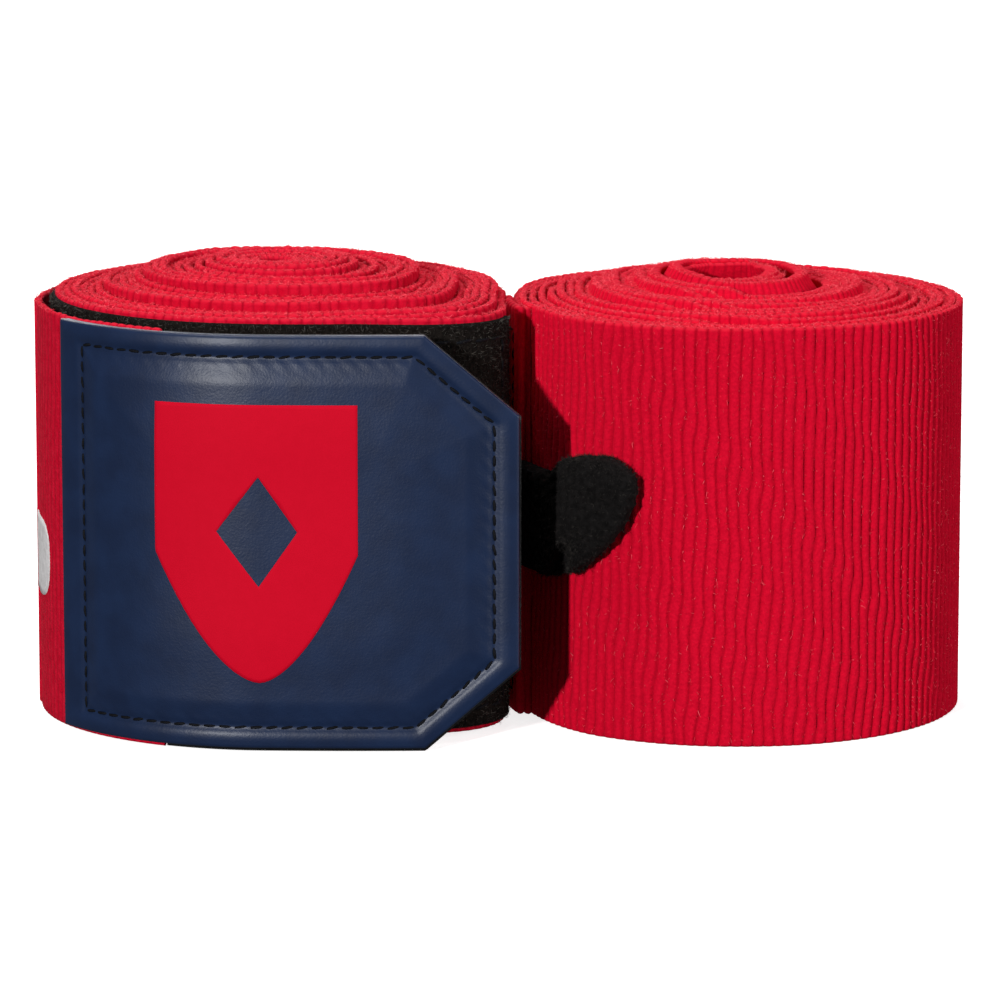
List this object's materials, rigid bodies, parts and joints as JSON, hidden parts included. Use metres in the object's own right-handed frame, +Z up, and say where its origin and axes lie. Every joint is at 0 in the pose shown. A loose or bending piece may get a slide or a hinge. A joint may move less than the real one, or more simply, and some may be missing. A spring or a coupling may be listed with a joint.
{
  "type": "hand wrap",
  "caption": "Pair of rolled elastic knit hand wraps standing side by side, one closed with a padded hook-and-loop patch, the other ending in a thumb loop.",
  "frame": {"origin": "on the resting surface, under the middle of the bounding box of the pair", "axes": "+X along the pair from the closure wrap to the thumb-loop wrap, +Y away from the closure patch, +Z up along the rolls"},
  "size_m": [0.1116, 0.0608, 0.054],
  "materials": {
    "elastic_knit": "ribbed elastic knit, matt, slightly fuzzy at the edges",
    "loop_pile": "brushed loop pile, matt",
    "hook_panel": "moulded hook tape",
    "foam": "thin closed-cell foam, hidden",
    "synthetic_leather": "fine-grained synthetic leather, soft satin sheen",
    "printed_mark": "flat transfer print",
    "knit_tape": "soft cotton knit tape, matt",
    "sewing_thread": "twisted polyester thread"
  },
  "bodies": {
    "left_roll": {"wrap_a_strip": "elastic_knit", "wrap_a_pile_panel": "loop_pile", "wrap_a_pile_thread": "sewing_thread", "wrap_a_thumb_loop": "knit_tape", "wrap_a_thumb_loop_thread": "sewing_thread"},
    "closure_flap": {"wrap_a_strip_tongue": "elastic_knit", "wrap_a_hook_panel": "hook_panel", "wrap_a_patch_foam": "foam", "wrap_a_patch_skin": "synthetic_leather", "wrap_a_patch_thread": "sewing_thread", "wrap_a_patch_emblem": "printed_mark"},
    "right_roll": {"wrap_b_strip": "elastic_knit", "wrap_b_end_hem": "elastic_knit", "wrap_b_hem_thread": "sewing_thread", "wrap_b_thumb_loop_root": "knit_tape", "wrap_b_thumb_loop_thread": "sewing_thread", "wrap_b_pile_panel": "loop_pile", "wrap_b_pile_thread": "sewing_thread", "wrap_b_hook_panel": "hook_panel", "wrap_b_patch_foam": "foam", "wrap_b_patch_skin": "synthetic_leather", "wrap_b_patch_thread": "sewing_thread", "wrap_b_patch_emblem": "printed_mark"},
    "thumb_loop": {"wrap_b_thumb_loop": "knit_tape"}
  },
  "joints": [
    {"name": "closure_peel", "type": "hinge", "parent": "left_roll", "child": "closure_flap", "pos_m": [-0.05157, -0.0135, 0.025], "axis": [0, 0, -1], "range_deg": [0, 110]},
    {"name": "wrap_b_set_aside", "type": "slide", "parent": "left_roll", "child": "right_roll", "axis": [1, 0, 0], "range_m": [0, 0.06]},
    {"name": "thumb_loop_swing", "type": "hinge", "parent": "right_roll", "child": "thumb_loop", "pos_m": [0.00573, -0.01345, 0.025], "axis": [0, 0, -1], "range_deg": [0, 45]}
  ]
}
